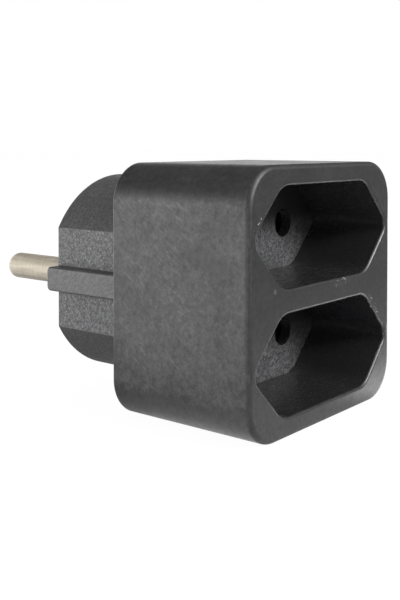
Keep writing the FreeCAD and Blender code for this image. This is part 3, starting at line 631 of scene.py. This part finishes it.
class ADAPTER_OT_stage(bpy.types.Operator):
    """Lay the floor, hang the lamps and set the camera"""
    bl_idname = "adapter.stage"
    bl_label = "Stage"

    def execute(self, context):
        settings = context.scene.adapter_stage
        self.floor(settings)
        self.sky(settings)
        self.lamp("front_lamp", *FRONT_LAMP, settings.front)
        panel = self.lamp("side_panel", *SIDE_PANEL, settings.side)
        panel.visible_glossy = False
        self.camera(context)
        context.scene.view_settings.view_transform = "Standard"
        return {"FINISHED"}

    def floor(self, settings):
        """A level square under the adapter. The camera sees it white, with the adapter's shadow.
        The light it sends back grows fivefold as ahead, x less y, goes from 0 to 80 mm. Polished
        surfaces see a shine on the right and in front, three times as strong beside the box, and
        the backdrop's light on the left and behind, both by the distance from the middle."""
        spread = np.linspace(-FLOOR_REACH, FLOOR_REACH, 3)
        x, y = np.meshgrid(spread, spread)
        slab = sheet("floor", np.stack([x, y, np.full_like(x, CAD_BOX[0].z)], axis=-1))
        look = Look("pale_floor")
        axes = look.axes(look.place)
        ahead = look.math("SUBTRACT", axes["X"], axes["Y"])
        bounce = look.band(ahead, 0.0, 0.08, settings.bounce * 0.2, settings.bounce)
        tone = look.blend(look.rays("Is Diffuse Ray"), settings.floor, bounce)
        shade = look.add("ShaderNodeBsdfDiffuse", {"Color": tone}).outputs[0]

        shine, backdrop = settings.shine, settings.backdrop
        reach = look.distance(look.place)
        near = look.band(reach, 0.04, 0.14, shine, shine * 0.3)
        far = look.band(reach, 0.034, 0.075, backdrop * 0.15, backdrop * 0.9)
        beside = look.math("MULTIPLY", look.band(axes["X"], 0.008, 0.020),
                           look.band(axes["Y"], -0.060, -0.052))
        near = look.blend(beside, near, look.band(beside, 0.0, 1.0, shine, shine * 3.0))
        mirrored = look.blend(look.band(ahead, -0.01, 0.03), far, near)

        white, mirror = (look.add("ShaderNodeEmission", {"Color": WHITE, "Strength": strength})
                         .outputs[0] for strength in (1.06, mirrored))
        plain = look.math("MULTIPLY", look.rays("Is Camera Ray", "Is Transmission Ray"), 0.9)
        for amount, over in ((plain, white), (look.rays("Is Glossy Ray"), mirror)):
            shade = look.add("ShaderNodeMixShader", {0: amount, 1: shade, 2: over}).outputs[0]
        look.add("ShaderNodeOutputMaterial", {"Surface": shade})
        slab.data.materials.append(look.material)

    def sky(self, settings):
        """The room all round. The camera sees it white, and it lights the adapter evenly but for
        less light from in front. Polished surfaces see a bright backdrop behind, most so on the
        left, a dim front wall, a dark ceiling, and a wide window above the front."""
        world = bpy.data.worlds.new("plain_sky")
        bpy.context.scene.world = world
        world.use_nodes = True
        nodes = Nodes(world.node_tree)
        axes = nodes.axes(nodes.add("ShaderNodeTexCoord").outputs["Generated"])
        x, y, z = axes["X"], axes["Y"], axes["Z"]

        def eased(value, low, high, to_low, to_high):
            return nodes.band(value, low, high, to_low, to_high, ease="SMOOTHSTEP")

        behind = eased(x, -0.4, 0.5, settings.backdrop, settings.backdrop * 0.6)
        walls = eased(y, -0.05, 0.45, settings.front_wall, behind)
        room = eased(z, 0.02, 0.50, walls, settings.ceiling)
        window = eased(y, -0.6, -0.25, settings.window, 0.0)
        window = eased(z, 0.10, 0.35, 0.0, window)
        window = eased(nodes.near(x, 0.1, within=0.4), 0.0, 1.0, 0.0, window)
        mirrored = nodes.math("ADD", room, window)
        fill = eased(y, -0.5, 0.3, settings.sky * settings.front_fill, settings.sky)
        level = eased(nodes.rays("Is Glossy Ray"), 0.0, 1.0, fill, mirrored)
        level = eased(nodes.rays("Is Camera Ray", "Is Transmission Ray"), 0.0, 1.0, level, 1.0)
        light = nodes.add("ShaderNodeBackground", {"Color": WHITE, "Strength": level})
        nodes.add("ShaderNodeOutputWorld", {"Surface": light.outputs[0]})

    def lamp(self, name, place, size, energy):
        """A soft rectangular lamp that faces the adapter's middle."""
        data = bpy.data.lights.new(name, "AREA")
        data.shape = "RECTANGLE"
        data.size, data.size_y = size
        data.energy = energy
        made = bpy.data.objects.new(name, data)
        bpy.context.scene.collection.objects.link(made)
        aim(made, place, (CAD_BOX[0] + CAD_BOX[1]) / 2 - Vector(place))
        return made

    def camera(self, context):
        """The photograph's view: a shift carries the optical centre up to where it was fitted,
        and the direction follows from the yaw to the right of +y and the pitch above level."""
        data = bpy.data.cameras.new("camera")
        data.lens = FOCAL_LENGTH / FRAME_HEIGHT * SENSOR
        data.sensor_width = SENSOR
        data.shift_y = -(FRAME_HEIGHT / 2 - OPTICAL_CENTRE) / FRAME_HEIGHT
        data.clip_start, data.clip_end = CAMERA_RANGE
        data.dof.use_dof = False
        made = bpy.data.objects.new("camera", data)
        context.scene.collection.objects.link(made)
        yaw, pitch = math.radians(CAMERA_YAW), math.radians(CAMERA_PITCH)
        aim(made, CAMERA_PLACE, Vector((math.sin(yaw) * math.cos(pitch),
                                        math.cos(yaw) * math.cos(pitch), math.sin(pitch))))
        context.scene.camera = made


class ADAPTER_PT_panel(bpy.types.Panel):
    """Lists the adapter's pieces and the stage"""
    bl_idname = "ADAPTER_PT_panel"
    bl_label = "Double Socket Adapter"
    bl_space_type = "VIEW_3D"
    bl_region_type = "UI"
    bl_category = "Adapter"

    def draw(self, context):
        for operator, settings in STEPS:
            self.layout.operator(operator.bl_idname)
            if settings:
                group = getattr(context.scene, settings)
                for key in group.__annotations__:
                    self.layout.prop(group, key)


STEPS = ((ADAPTER_OT_housing, "adapter_housing"), (ADAPTER_OT_plug_body, "adapter_plug"),
         (ADAPTER_OT_pins, "adapter_pins"), (ADAPTER_OT_contacts, None),
         (ADAPTER_OT_shutters, None), (ADAPTER_OT_stage, "adapter_stage"))
SETTINGS = {"adapter_housing": HousingFinish, "adapter_plug": PlugFinish,
            "adapter_pins": PinFinish, "adapter_stage": StageSettings}
CLASSES = (*SETTINGS.values(), *(step[0] for step in STEPS), ADAPTER_PT_panel)


def register():
    for item in CLASSES:
        bpy.utils.register_class(item)
    for key, group in SETTINGS.items():
        setattr(bpy.types.Scene, key, PointerProperty(type=group))


def unregister():
    for key in SETTINGS:
        delattr(bpy.types.Scene, key)
    for item in reversed(CLASSES):
        bpy.utils.unregister_class(item)


def main():
    register()
    bpy.ops.adapter.housing()
    bpy.ops.adapter.plug_body()
    bpy.ops.adapter.pins()
    bpy.ops.adapter.contacts()
    bpy.ops.adapter.shutters()
    bpy.ops.adapter.stage()


if __name__ == "__main__":
    main()
